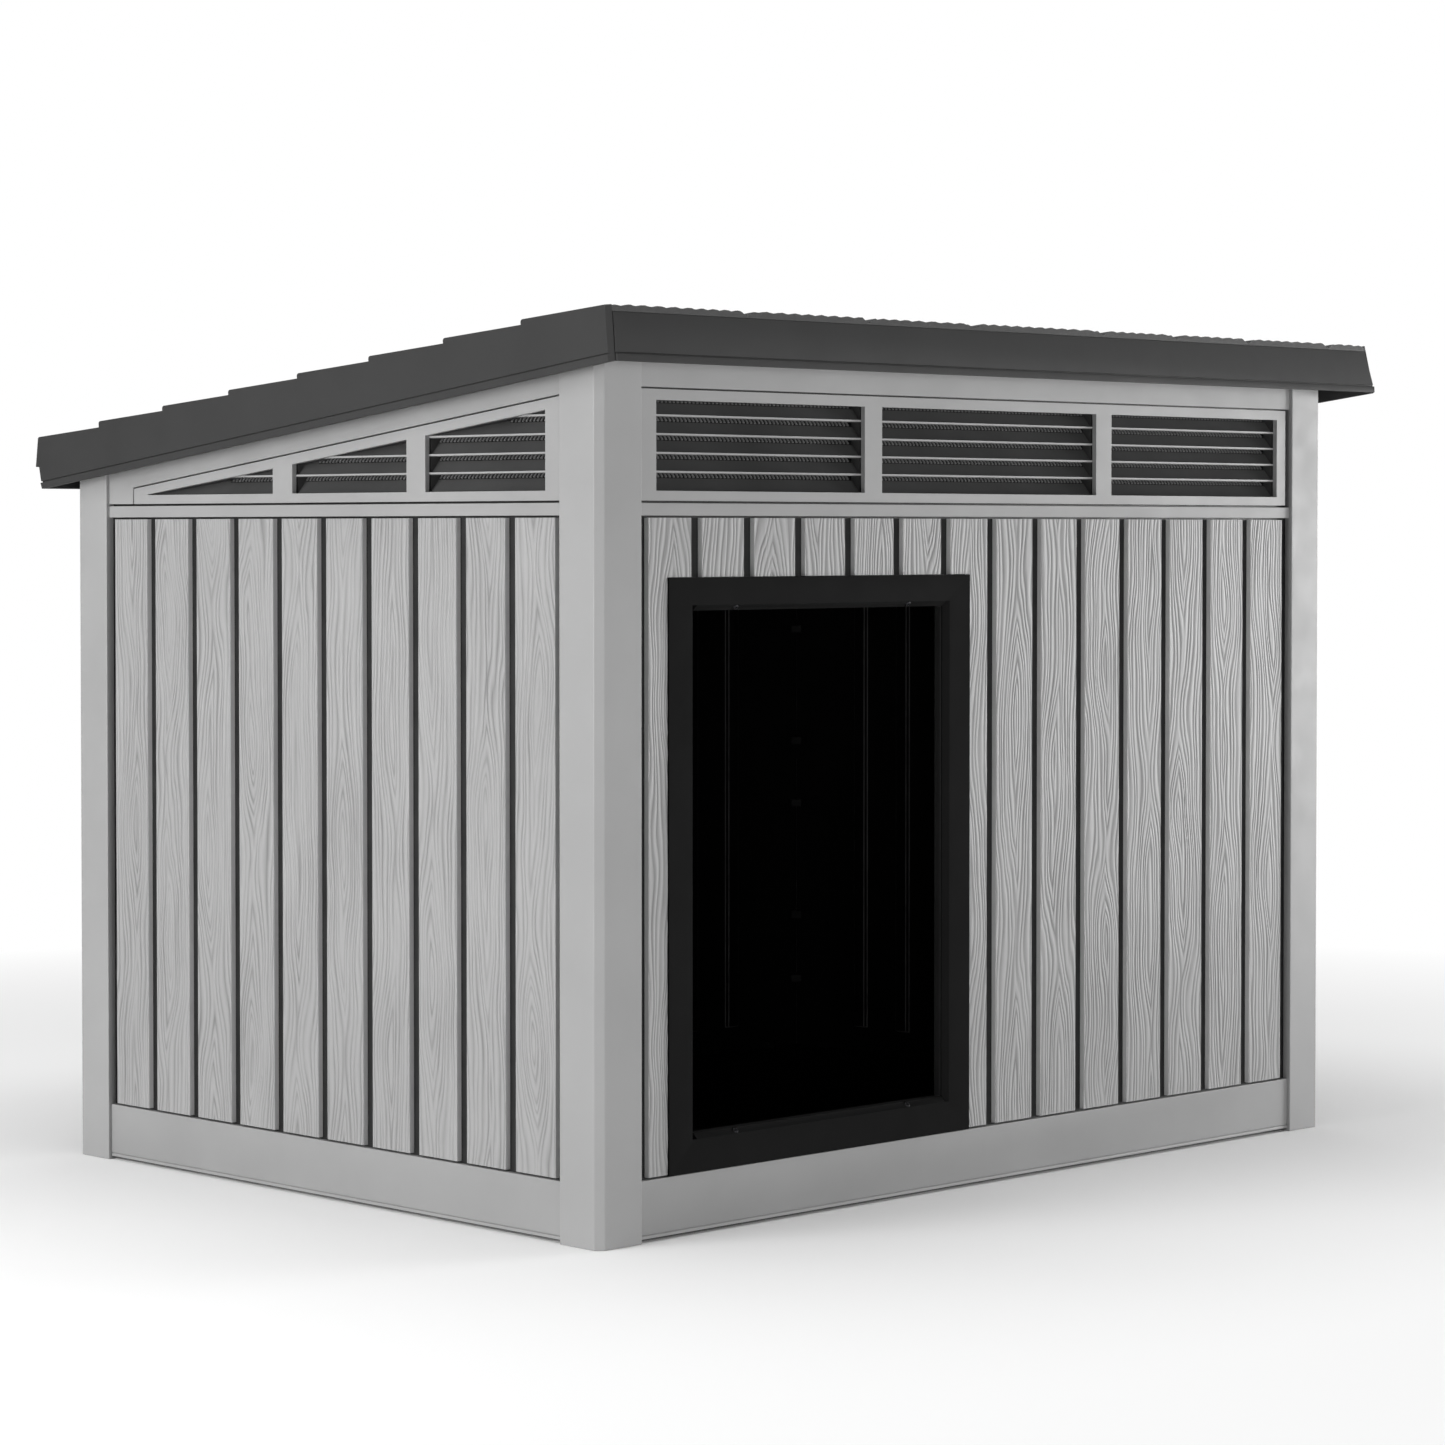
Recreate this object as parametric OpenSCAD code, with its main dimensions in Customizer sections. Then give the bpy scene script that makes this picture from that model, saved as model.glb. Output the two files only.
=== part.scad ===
// Calf hutch: a kit shelter with plank-faced walls, a louvred vent band under
// the eaves and a shingled roof that falls from the doorway side to the back.
// Origin: on the ground, under the middle of the whole object. The doorway
// faces -Y, the low side faces +Y and +Z is up. All lengths are millimetres.

/* [Body] */
// Width over the corner posts
body_w = 1658; // [1600:2:1720]
// Depth over the corner posts
body_d = 1230; // [1190:2:1270]
// Thickness of the hidden inner wall panels
wall_t = 5; // [4:0.5:6]

/* [Corner posts] */
// Width of each leg of a corner post
post_w = 82; // [76:1:90]
// Chamfer along the outer edge of a post
post_chamfer = 11; // [6:0.5:13]
// How far the posts stand proud of the planks and rails
post_proud = 6; // [3:0.5:8]

/* [Planks] */
// Width of one plank
plank_w = 84; // [78:1:90]
// Thickness of the planks, rails and boards on the inner wall
board_t = 9; // [8:0.5:10]
// Planks on the front and on the back
planks_wide = 14; // [13:1:15]
// Planks on each side
planks_deep = 10; // [9:1:11]
// From a body corner to the first plank of the front and back
plank_margin_wide = 101; // [98:1:104]
// From a body corner to the first plank of a side
plank_margin_deep = 97; // [94:1:100]

/* [Bands] */
// Underside of the kick boards
kick_low = 5; // [3:1:8]
// Top of the kick boards
kick_top = 88; // [80:1:90]
// Height of the bead line along the foot of the kick boards
kick_bead = 10.5; // [10:0.5:14]
// Underside of the mid rails
rail_low = 1024; // [1015:1:1025]
// Top of the mid rails
rail_top = 1042; // [1040:1:1043]
// Shadow gap between neighbouring boards
board_gap = 3; // [2:0.5:3.5]

/* [Doorway] */
// From the body corner to the outside of the door surround
door_x = 139; // [130:1:150]
// Width of the way in
door_w = 529; // [500:1:560]
// Height of the sill above the ground
door_sill = 144; // [140:1:150]
// Height of the way in
door_h = 745; // [700:1:750]
// Face width of the surround at the sides and the sill
door_trim = 54; // [50:1:56]
// Face width of the surround at the head
door_head_trim = 47; // [44:1:54]
// Chamfer round the inside of the surround's face
door_chamfer = 8; // [4:1:9]

/* [Vents] */
// Underside of the vent windows
vent_low = 1059; // [1057:1:1062]
// Height of the vent windows of the front
vent_h = 127.5; // [120:0.5:130]
// Width of the middle window of the front
vent_middle_w = 495; // [470:1:510]
// Width of the outer windows of the front
vent_outer_w = 428; // [400:1:436]
// Mullion between two windows of the front
vent_mullion = 37.5; // [32:0.5:42]
// Fall of the vent frames of the sides, in degrees
vent_pitch = 7; // [6.5:0.5:7.5]
// Height of one louvre bar's front edge
bar_t = 2.8; // [2.5:0.1:4]
// Spacing of the louvre bars
bar_pitch = 26.5; // [26:0.1:27]

/* [Roof] */
// Height of the roof lip at the front
lip_front = 1234; // [1230:1:1240]
// Fall of the roof, in degrees
roof_pitch = 7; // [6.5:0.5:7.5]
// Overhang of the lip beyond the posts at the front
over_front = 79; // [70:1:90]
// Overhang of the roof beyond the posts at the back
over_rear = 47; // [44:1:60]
// Overhang of the lip beyond the posts at the sides
over_side = 47.5; // [44:0.5:52]
// Exposed length of one shingle course, along the ground
course_pitch = 165.8; // [164:0.2:167]
// How much higher the butt of a course is than its head
course_rise = 7.3; // [5:0.1:8]
// Thickness of the roof deck
deck_t = 10; // [8:1:10]

/* [Hidden] */
courses = 8;
$fn = 32;
front_y = over_front - (over_front + body_d + over_rear) / 2;
board_n = post_proud;
wall_n = board_n + board_t;
inner_n = wall_n + wall_t;
batten_n = inner_n + 9;
batten_w = 26;
batten_low = 78;
bead_w = 1.4;
bead_deep = 1.6;
header_gap = 2.4;

// Roof section, measured square to the roof from the plane of its lips
fascia_t = 7;
fascia_flare = 7;
fascia_h = 72.5;
fascia_joint = 1.2;
fascia_top = 80;
lip_h = 10;
lip_proud = 1.2;
lip_land = 2.4;
lip_line = 2.2;
lip_line_deep = 2.8;
deck_low = 60;
deck_top = deck_low + deck_t;
deck_front = 20;
deck_rear = 26;
roof_d = (over_front + body_d + over_rear) / cos(roof_pitch);
course_head = 79.4;
last_drop = 2;
butt_round = 4;
front_flare = 17;
first_step = 107;
corner_cut = 9.6;
corner_lean = 10.9;
rear_drop = 37.5;
rear_step = 9;
rear_taper = 6;

// Vent windows, as [start, end] along the wall
vent_margin = (body_w - vent_middle_w - 2 * vent_outer_w - 2 * vent_mullion) / 2;
front_windows = [
    [vent_margin, vent_margin + vent_outer_w],
    [(body_w - vent_middle_w) / 2, (body_w + vent_middle_w) / 2],
    [body_w - vent_margin - vent_outer_w, body_w - vent_margin]
];
side_windows = [[117, 376], [418, 684], [731, 1046]];
vent_border = 23;
frame_top = 1202;
frame_low = rail_top + board_gap;
frame_t = 8;
side_frame_end = 1082;
side_window_top = 1187;
first_bar = 1086;
bars = 4;
bar_depth = 3.4;
bar_tail = 3;
blade_back = 17;
blade_t = 2.5;
blade_rise = 20.5;
insert_rim = 3;

// Door surround, outside and inside, as [x, z] along the front
door_out = [[door_x, kick_top + 1], [door_x + door_w + 2 * door_trim, door_sill + door_h + door_head_trim]];
door_in = [[door_x + door_trim, door_sill], [door_x + door_trim + door_w, door_sill + door_h]];
door_face_n = 4;
door_depth_n = 28;
door_sleeve = 6;
door_clamp = 24;
screw_inset = 82;
screw_head_r = 4.8;
screw_r = 1.9;

// Floor and fixings
floor_top = 30;
floor_t = 12;
bearers = 5;
bearer_w = 40;
rafter_w = 40;
rafter_h = 46;
rafter_places = [body_w * 0.25, body_w * 0.5, body_w * 0.75];
bolt_places = [260, 1120];
bolt_r = 5;
bolt_head_r = 9;
bolt_l = 30;
clip_heights = [156, 277, 489, 607, 818];
clip_leg = 18;
clip_h = 14;
clip_nose = 5;
floor_clip = [16, 14, 12];
tall = 1400;
deep = 60;
far = 4000;

// ---- Frames: a wall is drawn along X, inwards along Y, and up along Z ----

module at_front() {
    translate([-body_w / 2, front_y, 0]) children();
}

module at_rear() {
    translate([-body_w / 2, front_y + body_d, 0]) mirror([0, 1, 0]) children();
}

module at_left() {
    translate([-body_w / 2, front_y, 0]) mirror([1, -1, 0]) children();
}

module at_right() {
    mirror([1, 0, 0]) at_left() children();
}

// The roof is drawn from its front lip, down the slope along Y and out along Z
module at_roof() {
    translate([-body_w / 2, front_y - over_front, lip_front]) rotate([-roof_pitch, 0, 0]) children();
}

// Everything below a plane of the roof that is b above its lips
module below_roof(b) {
    intersection() {
        children();
        at_roof() translate([-far / 2, -far / 2, b - far]) cube([far, far, far]);
    }
}

// Height of a line that falls at the vents' pitch, y back from the front
function fall(top, y) = top - y * tan(vent_pitch);

// A box on a wall: from x0 to x1, from n0 to n1 inwards, from z0 to z1
module slab(x0, x1, n0, n1, z0, z1) {
    translate([x0, n0, z0]) cube([x1 - x0, n1 - n0, z1 - z0]);
}

// An outline in X and Z, extruded inwards from n0 to n1
module panel(n0, n1) {
    translate([0, n1, 0]) rotate([90, 0, 0]) linear_extrude(n1 - n0) children();
}

// ---- Walls ----

function plank_pitch(length, count, margin) = (length - 2 * margin - plank_w) / (count - 1);

// The planks of one wall: each is a board of its own
module plank_row(length, count, margin) {
    for (k = [0 : count - 1]) {
        x = margin + k * plank_pitch(length, count, margin);
        slab(x, x + plank_w, board_n, wall_n, kick_top + board_gap, rail_low - board_gap);
    }
}

// The raised battens behind the grooves, on the inside of a wall
module batten_row(length, count, margin) {
    pitch = plank_pitch(length, count, margin);
    for (k = [0 : count - 2]) {
        x = margin + plank_w + k * pitch + (pitch - plank_w) / 2;
        slab(x - batten_w / 2, x + batten_w / 2, inner_n - 0.5, batten_n, batten_low, rail_low - 6);
    }
}

// One wall's inner panel: a plain sheet with battens
module inner_panel(length, count, margin, inset) {
    slab(inset, length - inset, wall_n, inner_n, 0, tall);
    batten_row(length, count, margin);
}

module window(x, z_low, z_top, grow) {
    slab(x[0] - grow, x[1] + grow, -1, deep, z_low - grow, z_top + grow);
}

// A window of a side, whose head falls towards the back
module falling_window(x, grow) {
    panel(-1, deep) polygon([
        [x[0] - grow, vent_low - grow],
        [x[1] + grow, vent_low - grow],
        [x[1] + grow, max(vent_low - grow + 1, fall(side_window_top + grow, x[1] + grow))],
        [x[0] - grow, fall(side_window_top + grow, x[0] - grow)]
    ]);
}

module front_inner_wall() {
    color("#1d1e20")
    below_roof(deck_low) at_front() difference() {
        inner_panel(body_w, planks_wide, plank_margin_wide, wall_n);
        slab(
            door_in[0][0] - door_sleeve, door_in[1][0] + door_sleeve, 0, deep,
            door_in[0][1] - door_sleeve, door_in[1][1] + door_sleeve
        );
        slab(
            door_in[0][0] - door_clamp, door_in[1][0] + door_clamp, inner_n, deep,
            door_in[0][1] - door_clamp, door_in[1][1] + door_clamp
        );
        for (x = front_windows) window(x, vent_low, vent_low + vent_h, insert_rim);
    }
}

module rear_inner_wall() {
    color("#1d1e20")
    below_roof(deck_low) at_rear() inner_panel(body_w, planks_wide, plank_margin_wide, wall_n);
}

module side_inner_wall() {
    color("#1d1e20")
    difference() {
        inner_panel(body_d, planks_deep, plank_margin_deep, inner_n);
        for (x = side_windows) falling_window(x, insert_rim);
    }
}

module left_inner_wall() {
    below_roof(deck_low) at_left() side_inner_wall();
}

module right_inner_wall() {
    below_roof(deck_low) at_right() side_inner_wall();
}

module front_planks() {
    color("#b4b4b4")
    at_front() difference() {
        plank_row(body_w, planks_wide, plank_margin_wide);
        slab(door_out[0][0] - 1, door_out[1][0] + 1, 0, deep, 0, door_out[1][1] + 1);
    }
}

module rear_planks() {
    color("#b4b4b4") at_rear() plank_row(body_w, planks_wide, plank_margin_wide);
}

module left_planks() {
    color("#b4b4b4") at_left() plank_row(body_d, planks_deep, plank_margin_deep);
}

module right_planks() {
    color("#b4b4b4") at_right() plank_row(body_d, planks_deep, plank_margin_deep);
}

// A smooth board between two posts
module board(length, z0, z1) {
    color("#b0b0b0") slab(post_w, length - post_w, board_n, wall_n, z0, z1);
}

// A kick board has a bead along its foot, set off by a narrow groove
module kick_board(length) {
    color("#b0b0b0") difference() {
        board(length, kick_low, kick_top);
        slab(0, length, 0, board_n + bead_deep, kick_bead - bead_w / 2, kick_bead + bead_w / 2);
    }
}

module front_kick_board() {
    at_front() kick_board(body_w);
}

module rear_kick_board() {
    at_rear() kick_board(body_w);
}

module left_kick_board() {
    at_left() kick_board(body_d);
}

module right_kick_board() {
    at_right() kick_board(body_d);
}

module front_mid_rail() {
    at_front() board(body_w, rail_low, rail_top);
}

module rear_mid_rail() {
    at_rear() board(body_w, rail_low, rail_top);
}

module left_mid_rail() {
    at_left() board(body_d, rail_low, rail_top);
}

module right_mid_rail() {
    at_right() board(body_d, rail_low, rail_top);
}

module front_header_board() {
    below_roof(deck_low) at_front() board(body_w, frame_top + header_gap, tall);
}

module rear_header_board() {
    below_roof(deck_low) at_rear() board(body_w, frame_low, tall);
}

// The board over a side's vents. Behind the vent frame's end it runs down to the mid rail
module side_header_board() {
    top = frame_top + header_gap;
    color("#b0b0b0") panel(board_n, wall_n) polygon([
        [post_w, fall(top, post_w)],
        [post_w, tall],
        [body_d - post_w, tall],
        [body_d - post_w, frame_low],
        [side_frame_end + board_gap, frame_low],
        [side_frame_end + board_gap, fall(top, side_frame_end + board_gap)]
    ]);
}

module left_header_board() {
    below_roof(deck_low) at_left() side_header_board();
}

module right_header_board() {
    below_roof(deck_low) at_right() side_header_board();
}

// ---- Corner posts ----

// An angle that wraps a corner of the body, with its outer edge chamfered
module post() {
    color("#b6b6b6") linear_extrude(tall) polygon([
        [post_chamfer, 0],
        [post_w, 0],
        [post_w, wall_n],
        [wall_n, wall_n],
        [wall_n, post_w],
        [0, post_w],
        [0, post_chamfer]
    ]);
}

module post_front_left() {
    below_roof(deck_low) at_front() post();
}

module post_front_right() {
    below_roof(deck_low) mirror([1, 0, 0]) at_front() post();
}

module post_rear_left() {
    below_roof(deck_low) at_rear() post();
}

module post_rear_right() {
    below_roof(deck_low) mirror([1, 0, 0]) at_rear() post();
}

// ---- Vents ----

function bar_height(k) = first_bar + k * bar_pitch;

// The louvre bars of one window, behind the frame's own face
module bar_row(x) {
    for (k = [0 : bars - 1]) {
        slab(
            x[0] - bar_tail, x[1] + bar_tail, board_n + frame_t - 0.4, board_n + frame_t - 0.4 + bar_depth,
            bar_height(k) - bar_t / 2, bar_height(k) + bar_t / 2
        );
    }
}

module front_vent_frame() {
    color("#b4b4b4") at_front() {
        difference() {
            slab(
                post_w + board_gap, body_w - vent_margin + vent_border,
                board_n, board_n + frame_t, frame_low, frame_top
            );
            for (x = front_windows) window(x, vent_low, vent_low + vent_h, 0);
        }
        for (x = front_windows) bar_row(x);
    }
}

module side_vent_frame() {
    color("#b4b4b4") {
        difference() {
            panel(board_n, board_n + frame_t) polygon([
                [post_w + board_gap, frame_low],
                [side_frame_end, frame_low],
                [side_frame_end, fall(frame_top, side_frame_end)],
                [post_w + board_gap, fall(frame_top, post_w + board_gap)]
            ]);
            for (x = side_windows) falling_window(x, 0);
        }
        for (x = side_windows) intersection() {
            bar_row(x);
            falling_window(x, bar_tail - 0.5);
        }
    }
}

module left_vent_frame() {
    at_left() side_vent_frame();
}

module right_vent_frame() {
    at_right() side_vent_frame();
}

// A black insert behind one window: a rim with leaning blades, low at the
// outside and high at the inside, so that rain runs out and air comes in
module louvre(x) {
    front_n = board_n + frame_t + bar_depth;
    back_n = front_n + blade_back;
    color("#26272a") intersection() {
        union() {
            difference() {
                children(0);
                children(1);
            }
            for (k = [-1 : bars]) {
                z = bar_height(k);
                translate([x[0] - insert_rim, 0, 0]) rotate([90, 0, 90]) linear_extrude(x[1] - x[0] + 2 * insert_rim)
                    polygon([
                        [front_n, z - blade_t],
                        [back_n, z + blade_rise - blade_t],
                        [back_n, z + blade_rise],
                        [front_n, z]
                    ]);
            }
        }
        children(0);
        slab(0, far, front_n, back_n, 0, far);
    }
}

module front_louvre(k) {
    x = front_windows[k];
    at_front() louvre(x) {
        window(x, vent_low, vent_low + vent_h, insert_rim - 0.2);
        window(x, vent_low, vent_low + vent_h, 0.4);
    }
}

module side_louvre(k) {
    x = side_windows[k];
    louvre(x) {
        falling_window(x, insert_rim - 0.2);
        falling_window(x, 0.4);
    }
}

// ---- Doorway ----

module door_outline(grow) {
    translate(door_in[0] - [grow, grow]) square([door_w + 2 * grow, door_h + 2 * grow]);
}

// The frame round the way in, with a chamfer that leads into the reveal
module door_surround() {
    color("#1e1e1f") at_front() difference() {
        slab(door_out[0][0], door_out[1][0], door_face_n, wall_n, door_out[0][1], door_out[1][1]);
        slab(door_in[0][0], door_in[1][0], 0, deep, door_in[0][1], door_in[1][1]);
        chamfer_cut();
        door_screw_places() cylinder(h = 40, r = screw_r + 0.3, center = true);
        door_screw_places() cylinder(h = 4.4, r = screw_head_r + 0.4, center = true);
    }
}

// Four wedges that take the inner edges of the surround's face off
module chamfer_cut() {
    c = door_chamfer;
    n = door_face_n;
    x0 = door_in[0][0];
    x1 = door_in[1][0];
    z0 = door_in[0][1];
    z1 = door_in[1][1];
    for (side = [0, 1]) {
        translate([0, 0, z0 - c]) linear_extrude(door_h + 2 * c) polygon(
            side == 0
            ? [[x0 - c, n], [x0 + 1, n + c + 1], [x0 + 1, n - 1], [x0 - c, n - 1]]
            : [[x1 + c, n], [x1 - 1, n + c + 1], [x1 - 1, n - 1], [x1 + c, n - 1]]
        );
        translate([x0, 0, 0]) rotate([90, 0, 90]) linear_extrude(door_w) polygon(
            side == 0
            ? [[n, z0 - c], [n + c + 1, z0 + 1], [n - 1, z0 + 1], [n - 1, z0 - c]]
            : [[n, z1 + c], [n + c + 1, z1 - 1], [n - 1, z1 - 1], [n - 1, z1 + c]]
        );
    }
}

// The screws sit square to the chamfer, two at the sill and two at the head
module door_screw_places() {
    mid = door_chamfer / 2;
    for (x = [door_in[0][0] + screw_inset, door_in[1][0] - screw_inset]) {
        translate([x, door_face_n + mid, door_in[0][1] - mid]) rotate([45, 0, 0]) children();
        translate([x, door_face_n + mid, door_in[1][1] + mid]) rotate([135, 0, 0]) children();
    }
}

// The sleeve behind the surround, with a flange that clamps the inner wall
module door_liner() {
    color("#242426") at_front() difference() {
        union() {
            panel(wall_n, door_depth_n) door_outline(door_sleeve - 0.3);
            panel(inner_n, inner_n + 4) door_outline(door_clamp - 2);
        }
        panel(0, deep) door_outline(0);
    }
}

// Round-headed screws, each a separate solid
module door_screws() {
    color("#3a3a3c") at_front() door_screw_places() {
        translate([0, 0, -1.9]) cylinder(h = 3.4, r = screw_head_r);
        translate([0, 0, -7]) cylinder(h = 5.4, r = screw_r);
    }
}

// ---- Floor ----

module floor_panel() {
    color("#222325") at_front() slab(inner_n, body_w - inner_n, inner_n, body_d - inner_n, floor_top - floor_t, floor_top);
}

// Flat bearers from front to back, which carry the floor clear of the ground
module floor_bearers() {
    pitch = (body_w - 2 * inner_n - bearer_w) / (bearers - 1);
    color("#222325") at_front() for (k = [0 : bearers - 1]) {
        x = inner_n + k * pitch;
        slab(x, x + bearer_w, inner_n, body_d - inner_n, 0, floor_top - floor_t);
    }
}

// Small square clips that hold the floor's edge to the walls
module floor_clips() {
    color("#2c2d30") {
        for (x = [0.06, 0.35, 0.65, 0.94]) at_rear() clip_on_floor(body_w * x);
        for (y = [0.08, 0.5, 0.92]) {
            at_left() clip_on_floor(body_d * y);
            at_right() clip_on_floor(body_d * y);
        }
    }
}

module clip_on_floor(x) {
    translate([x - floor_clip[0] / 2, inner_n, floor_top]) cube(floor_clip);
}

// Wedge clips that lock two inner walls together, up each inside corner
module corner_clips() {
    color("#2c2d30") for (z = clip_heights, end = [0, 1], side = [0, 1]) {
        mirror([end, 0, 0]) corner_clip(z, side);
    }
}

module corner_clip(z, side) {
    if (side == 0) {
        at_front() corner_wedge(z);
    } else {
        at_rear() corner_wedge(z);
    }
}

module corner_wedge(z) {
    translate([inner_n, inner_n, z - clip_h / 2]) linear_extrude(clip_h)
        polygon([[0, 0], [clip_leg, 0], [clip_leg, clip_nose], [clip_nose, clip_leg], [0, clip_leg]]);
}

// ---- Roof ----

// Distance down the slope of the roof's plumb rear end, b above the lips
function plumb(b) = roof_d - b * tan(roof_pitch);

// The rear end below its plumb stretch: a step in, a lean and a proud lip
function rear_lip() = [
    [plumb(rear_drop) - rear_step, rear_drop - 1.5],
    [plumb(rear_drop) - rear_step - rear_taper, lip_h],
    [plumb(rear_drop) - rear_step - rear_taper + lip_proud, lip_h],
    [plumb(rear_drop) - rear_step - rear_taper + lip_proud - 3, 0]
];

// Distance down the slope of the butt of course k, from the front lip
function butt(k) = (over_front + first_step + (k - 1) * course_pitch) / cos(roof_pitch);
course_start = front_flare * cos(roof_pitch) - course_head * sin(roof_pitch);
course_end = plumb(course_head + course_rise - last_drop);

function head_of(k) = k == 1 ? course_start : butt(k - 1);
function butt_of(k) = k == courses ? course_end : butt(k);

// The outline of the roof's top, course by course, with each butt rounded
function rounded_butt(a, b) = [
    for (t = [0 : 3]) [a - butt_round + butt_round * sin(t * 30), b - butt_round + butt_round * cos(t * 30)]
];
function head_b(k) = course_head - (k == courses ? last_drop : 0);
function course_top(k) = concat(
    [[head_of(k), head_b(k)]],
    rounded_butt(butt_of(k), head_b(k) + course_rise)
);

// The space between the two side fascias, in section
module roof_bay(grow) {
    low = over_side - fascia_t + grow;
    high = low - fascia_flare;
    rotate([90, 0, 0]) translate([0, 0, -far]) linear_extrude(2 * far) polygon([
        [-low, 0],
        [body_w + low, 0],
        [body_w + high, fascia_top],
        [body_w + high - 4, fascia_top + 40],
        [-high + 4, fascia_top + 40],
        [-high, fascia_top]
    ]);
}

module roof_deck() {
    color("#2a2a2b") at_roof() intersection() {
        roof_bay(-0.5);
        translate([-far / 2, deck_front, deck_low]) cube([far, roof_d - deck_front - deck_rear, deck_t]);
    }
}

// A course is a wedge: thin at its head and thick at its butt
module shingle_course(k) {
    color("#333334") at_roof() intersection() {
        roof_bay(-0.5);
        translate([-far / 2, 0, 0]) rotate([90, 0, 90]) linear_extrude(far) polygon(concat(
            [[head_of(k), deck_top]],
            course_top(k),
            [[butt_of(k), deck_top]]
        ));
    }
}

// The section of a side fascia, square to the slope: it leans out to a proud lip under a shadow line
module side_fascia_section() {
    polygon([
        [-over_side, 0],
        [-over_side, lip_h],
        [-over_side + lip_proud + lip_line_deep, lip_h],
        [-over_side + lip_proud + lip_line_deep, lip_h + lip_line],
        [-over_side + lip_proud, lip_h + lip_line],
        [-over_side + fascia_flare, fascia_top],
        [-over_side + fascia_flare, fascia_top + 20],
        [-over_side + fascia_flare + fascia_t, fascia_top + 20],
        [-over_side + fascia_flare + fascia_t, fascia_top],
        [-over_side + fascia_t, 0]
    ]);
}

// A side fascia seen from the side: stepped along its top like the courses
module side_fascia_profile() {
    steps = [for (k = [1 : courses]) each course_top(k)];
    lip_a = -lip_h * tan(roof_pitch);
    polygon(concat(
        [[0, 0], [lip_a, lip_h], [lip_a + lip_land, lip_h]],
        steps,
        [[plumb(rear_drop), rear_drop]],
        rear_lip()
    ));
}

module side_fascia() {
    color("#3d3d3e") intersection() {
        at_roof() translate([0, far / 2, 0]) rotate([90, 0, 0]) linear_extrude(far) side_fascia_section();
        at_roof() translate([-200, 0, 0]) rotate([90, 0, 90]) linear_extrude(400) side_fascia_profile();
        corner_chamfer();
    }
}

// Takes the front edge of the side fascia off at 45 degrees, leaning in like its faces
module corner_chamfer() {
    c = over_side + over_front - corner_cut;
    translate([-(body_w + c) / 2, front_y - c / 2, lip_front]) rotate([0, 0, 45]) rotate([0, corner_lean, 0])
        translate([0, -far / 2, -far / 2]) cube([far, far, far]);
}

module left_fascia() {
    side_fascia();
}

module right_fascia() {
    mirror([1, 0, 0]) side_fascia();
}

// A fascia board across the front, leaning out to its lip, which has the same shadow line
module front_fascia() {
    y_lip = -over_front;
    color("#38383a") intersection() {
        at_front() translate([-200, 0, 0]) rotate([90, 0, 90]) linear_extrude(body_w + 400) polygon([
            [y_lip, lip_front],
            [y_lip, lip_front + lip_h],
            [y_lip + lip_land + lip_line_deep, lip_front + lip_h],
            [y_lip + lip_land + lip_line_deep, lip_front + lip_h + lip_line],
            [y_lip + lip_land, lip_front + lip_h + lip_line],
            [y_lip + front_flare, lip_front + fascia_h],
            [y_lip + front_flare + fascia_t, lip_front + fascia_h],
            [y_lip + fascia_t, lip_front]
        ]);
        at_roof() roof_bay(-fascia_joint);
        at_roof() translate([-far / 2, -far / 2, -far]) cube([far, far, far + deck_top + 11]);
        front_of_courses();
    }
}

// The space in front of the first course and the deck
module front_of_courses() {
    at_roof() translate([-far / 2, 0, 0]) rotate([90, 0, 90]) linear_extrude(far) polygon([
        [-200, -200],
        [course_start + 12, -200],
        [course_start + 12, deck_top - 0.2],
        [course_start - 0.2, deck_top - 0.2],
        [course_start - 0.2, 200],
        [-200, 200]
    ]);
}

// A fascia board across the back, leaning in to its lip, under the last butt
module rear_fascia() {
    face = concat([[plumb(deck_top) - rear_step, deck_top - 0.3]], rear_lip());
    back = [for (p = [face[4], face[2], face[0]]) [p[0] - fascia_t, p[1]]];
    color("#38383a") at_roof() intersection() {
        roof_bay(-0.3);
        translate([-far / 2, 0, 0]) rotate([90, 0, 90]) linear_extrude(far) polygon(concat(face, back));
    }
}

// ---- Rafters ----

module rafter(x) {
    color("#4a4b4d") intersection() {
        at_roof() difference() {
            translate([x - rafter_w / 2, 0, deck_low - rafter_h]) cube([rafter_w, far, rafter_h]);
            rafter_bolt_places() cylinder(h = 2 * bolt_l + 2, r = bolt_r + 0.4, center = true);
        }
        at_front() slab(0, body_w, inner_n, body_d - inner_n, 0, far);
    }
}

// Two bolts through each rafter, square to the deck
module rafter_bolt_places() {
    for (x = rafter_places, a = bolt_places) translate([x, a, deck_low - rafter_h]) children();
}

// Coach bolts up into the rafters from below, each a separate solid
module rafter_bolts() {
    color("#8a8c8f") at_roof() rafter_bolt_places() {
        translate([0, 0, -5]) cylinder(h = 5, r = bolt_head_r);
        translate([0, 0, -0.5]) cylinder(h = bolt_l, r = bolt_r);
    }
}

floor_panel();
floor_bearers();
post_front_left();
post_front_right();
post_rear_left();
post_rear_right();
front_inner_wall();
rear_inner_wall();
left_inner_wall();
right_inner_wall();
front_planks();
rear_planks();
left_planks();
right_planks();
front_kick_board();
rear_kick_board();
left_kick_board();
right_kick_board();
front_mid_rail();
rear_mid_rail();
left_mid_rail();
right_mid_rail();
front_header_board();
rear_header_board();
left_header_board();
right_header_board();
front_vent_frame();
left_vent_frame();
right_vent_frame();
front_louvre(0);  // front_louvre_left
front_louvre(1);  // front_louvre_middle
front_louvre(2);  // front_louvre_right
at_left() side_louvre(0);  // left_louvre_front
at_left() side_louvre(1);  // left_louvre_middle
at_left() side_louvre(2);  // left_louvre_rear
at_right() side_louvre(0);  // right_louvre_front
at_right() side_louvre(1);  // right_louvre_middle
at_right() side_louvre(2);  // right_louvre_rear
door_surround();
door_liner();
door_screws();
rafter(rafter_places[0]);  // rafter_left
rafter(rafter_places[1]);  // rafter_middle
rafter(rafter_places[2]);  // rafter_right
rafter_bolts();
roof_deck();
shingle_course(1);  // shingle_course_1
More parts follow.
